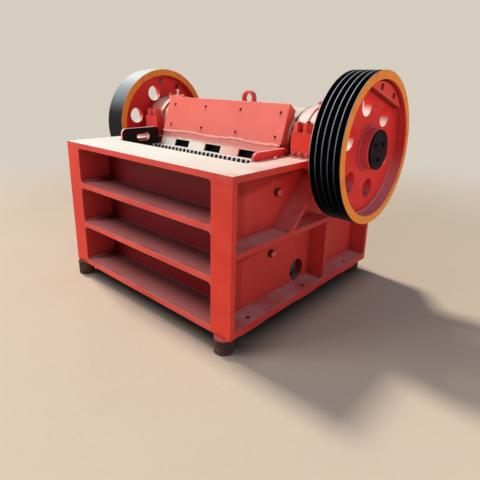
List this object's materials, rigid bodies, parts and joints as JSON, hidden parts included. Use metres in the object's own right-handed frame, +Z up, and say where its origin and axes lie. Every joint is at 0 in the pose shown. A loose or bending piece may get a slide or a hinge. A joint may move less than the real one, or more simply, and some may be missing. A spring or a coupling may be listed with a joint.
{
  "type": "jaw crusher",
  "caption": "Single-toggle fine jaw crusher: welded box frame, swing jaw on an eccentric shaft, grooved drive wheel and plain flywheel, on round support stubs.",
  "frame": {"origin": "on the floor, under the middle of the machine's whole length and width", "axes": "+X across the machine towards the drive wheel, +Y from the feed end to the rear, +Z up"},
  "size_m": [2.114, 1.7436, 1.4755],
  "materials": {
    "red_paint": "orange-red machine paint, dusty and worn",
    "toggle_iron": "raw casting",
    "jaw_steel": "cast manganese steel, bare, dusty crests",
    "liner_steel": "dark rolled plate with a worn rim",
    "stub_paint": "dark brown-black paint, dusty",
    "bare_steel": "machined, oiled",
    "drive_wheel_paint": "black grooved rim",
    "flywheel_paint": "black paint, semi-gloss",
    "disc_paint": "black paint",
    "spring_steel": "black"
  },
  "bodies": {
    "frame": {"deck_plate": "red_paint", "front_wall": "red_paint", "upper_shelf": "red_paint", "lower_shelf": "red_paint", "bottom_plate": "red_paint", "corner_post_left": "red_paint", "corner_post_right": "red_paint", "side_plate_left": "red_paint", "side_plate_right": "red_paint", "base_flange_left": "red_paint", "base_flange_right": "red_paint", "side_ribs_left": "red_paint", "side_ribs_right": "red_paint", "rear_flange_left": "red_paint", "rear_flange_right": "red_paint", "rear_wall": "red_paint", "toggle_beam": "red_paint", "toggle_block": "toggle_iron", "toggle_plate": "toggle_iron", "fixed_jaw_plate": "jaw_steel", "cheek_plate_left": "liner_steel", "cheek_plate_right": "red_paint", "bearing_housing_left": "red_paint", "bearing_housing_right": "red_paint", "stub_front_left": "stub_paint", "stub_front_right": "stub_paint", "stub_rear_left": "stub_paint", "stub_rear_right": "stub_paint", "tension_spring_left": "spring_steel", "tension_spring_right": "spring_steel"},
    "rotor": {"eccentric_shaft": "bare_steel", "sheave": "drive_wheel_paint", "flywheel": "flywheel_paint", "sheave_weight": "red_paint", "flywheel_weight": "red_paint", "sheave_end_disc": "disc_paint", "flywheel_end_disc": "disc_paint"},
    "pitman": {"swing_jaw": "red_paint", "swing_jaw_plate": "jaw_steel", "apron": "red_paint", "guard_plate": "red_paint", "lifting_eye": "red_paint", "tension_rod_left": "bare_steel", "tension_rod_right": "bare_steel"}
  },
  "joints": [
    {"name": "shaft_spin", "type": "hinge", "parent": "frame", "child": "rotor", "pos_m": [0, 0.0922, 1.038], "axis": [1, 0, 0], "continuous": true},
    {"name": "jaw_orbit", "type": "hinge", "parent": "rotor", "child": "pitman", "pos_m": [0, 0.09021, 1.03129], "axis": [1, 0, 0], "continuous": true, "deforming": ["tension_spring_left", "tension_spring_right"]}
  ],
  "couplings": [
    {"joint": "jaw_orbit", "follows": "shaft_spin", "ratio": -1}
  ]
}
